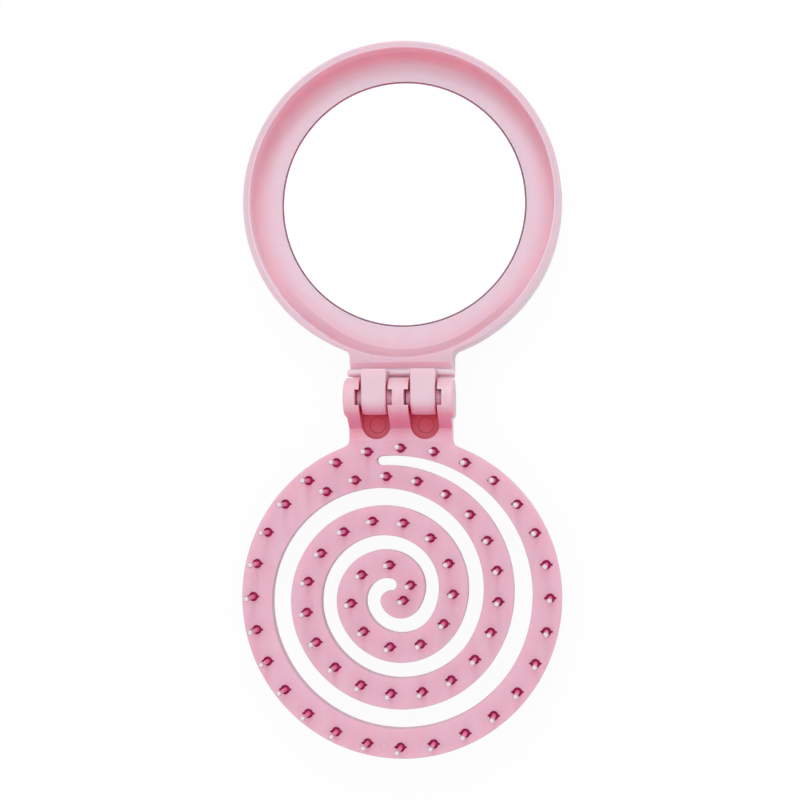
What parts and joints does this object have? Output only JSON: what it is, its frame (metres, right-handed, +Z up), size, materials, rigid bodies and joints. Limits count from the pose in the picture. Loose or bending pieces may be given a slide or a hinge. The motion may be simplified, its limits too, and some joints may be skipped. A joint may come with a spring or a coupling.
{
  "type": "folding pocket hairbrush with mirror",
  "caption": "Round pocket hairbrush that folds on a snap-in hinge: ball-tipped bristles on a plate with a spiral slot, and a lid with a round mirror.",
  "frame": {"origin": "on the surface the object lies on, right under the middle of the hinge axis, with the object folded open flat; also the middle of the bottom of the bounding box", "axes": "+X along the hinge, +Y from the hinge to the lid, +Z up, out of the mirror and the bristles"},
  "size_m": [0.08, 0.179, 0.0201],
  "materials": {
    "pink_plastic": "satin moulded plastic, pale pink",
    "bristle_plastic": "smooth flexible plastic, pale pink",
    "mirror": "silvered glass with a thin dark edge",
    "adhesive": "thin sheet of double-sided tape"
  },
  "bodies": {
    "lid": {"lid_frame": "pink_plastic", "mirror_adhesive": "adhesive", "mirror_glass": "mirror"},
    "brush": {"brush_plate": "pink_plastic", "back_cover": "pink_plastic", "bristles_ring": "bristle_plastic", "bristles_first_turn": "bristle_plastic", "bristles_second_turn": "bristle_plastic", "bristles_core": "bristle_plastic"}
  },
  "joints": [
    {"name": "fold", "type": "hinge", "parent": "lid", "child": "brush", "pos_m": [0, 0, 0.0126], "axis": [-1, 0, 0], "range_deg": [0, 180]}
  ]
}
